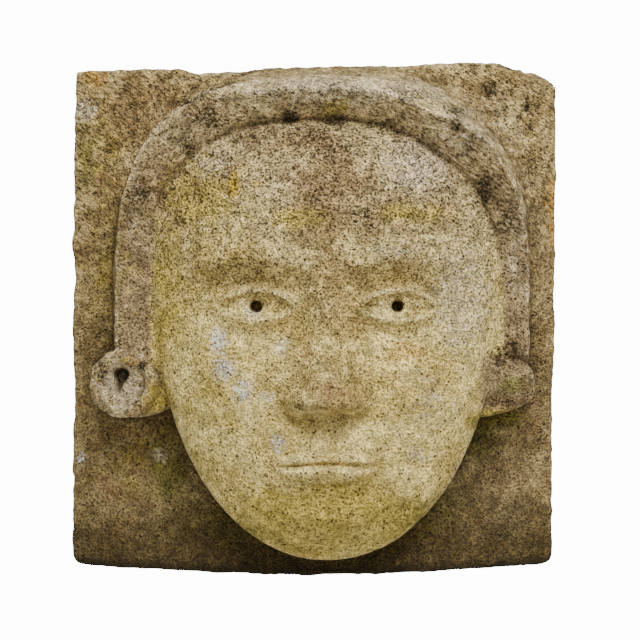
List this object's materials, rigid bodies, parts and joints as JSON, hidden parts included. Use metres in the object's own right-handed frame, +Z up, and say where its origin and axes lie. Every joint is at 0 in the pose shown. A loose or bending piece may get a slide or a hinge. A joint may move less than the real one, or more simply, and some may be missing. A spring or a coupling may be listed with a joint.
{
  "type": "stone corbel",
  "caption": "Squared stone corbel with a human head in high relief under a rolled hood band that ends in a ring boss and a plain lobe; it is built into a wall at its flat back.",
  "frame": {"origin": "the middle of the flat back face, where the stone meets the wall", "axes": "+Z up, +X to the right seen from the front, -Y out of the wall, so the carved front faces -Y"},
  "size_m": [0.3, 0.2097, 0.3163],
  "materials": {
    "limestone": "weathered oolitic limestone, pitted, with brown soiling and yellow-green, white and dark lichen"
  },
  "bodies": {
    "root": {"corbel": "limestone"}
  },
  "joints": []
}
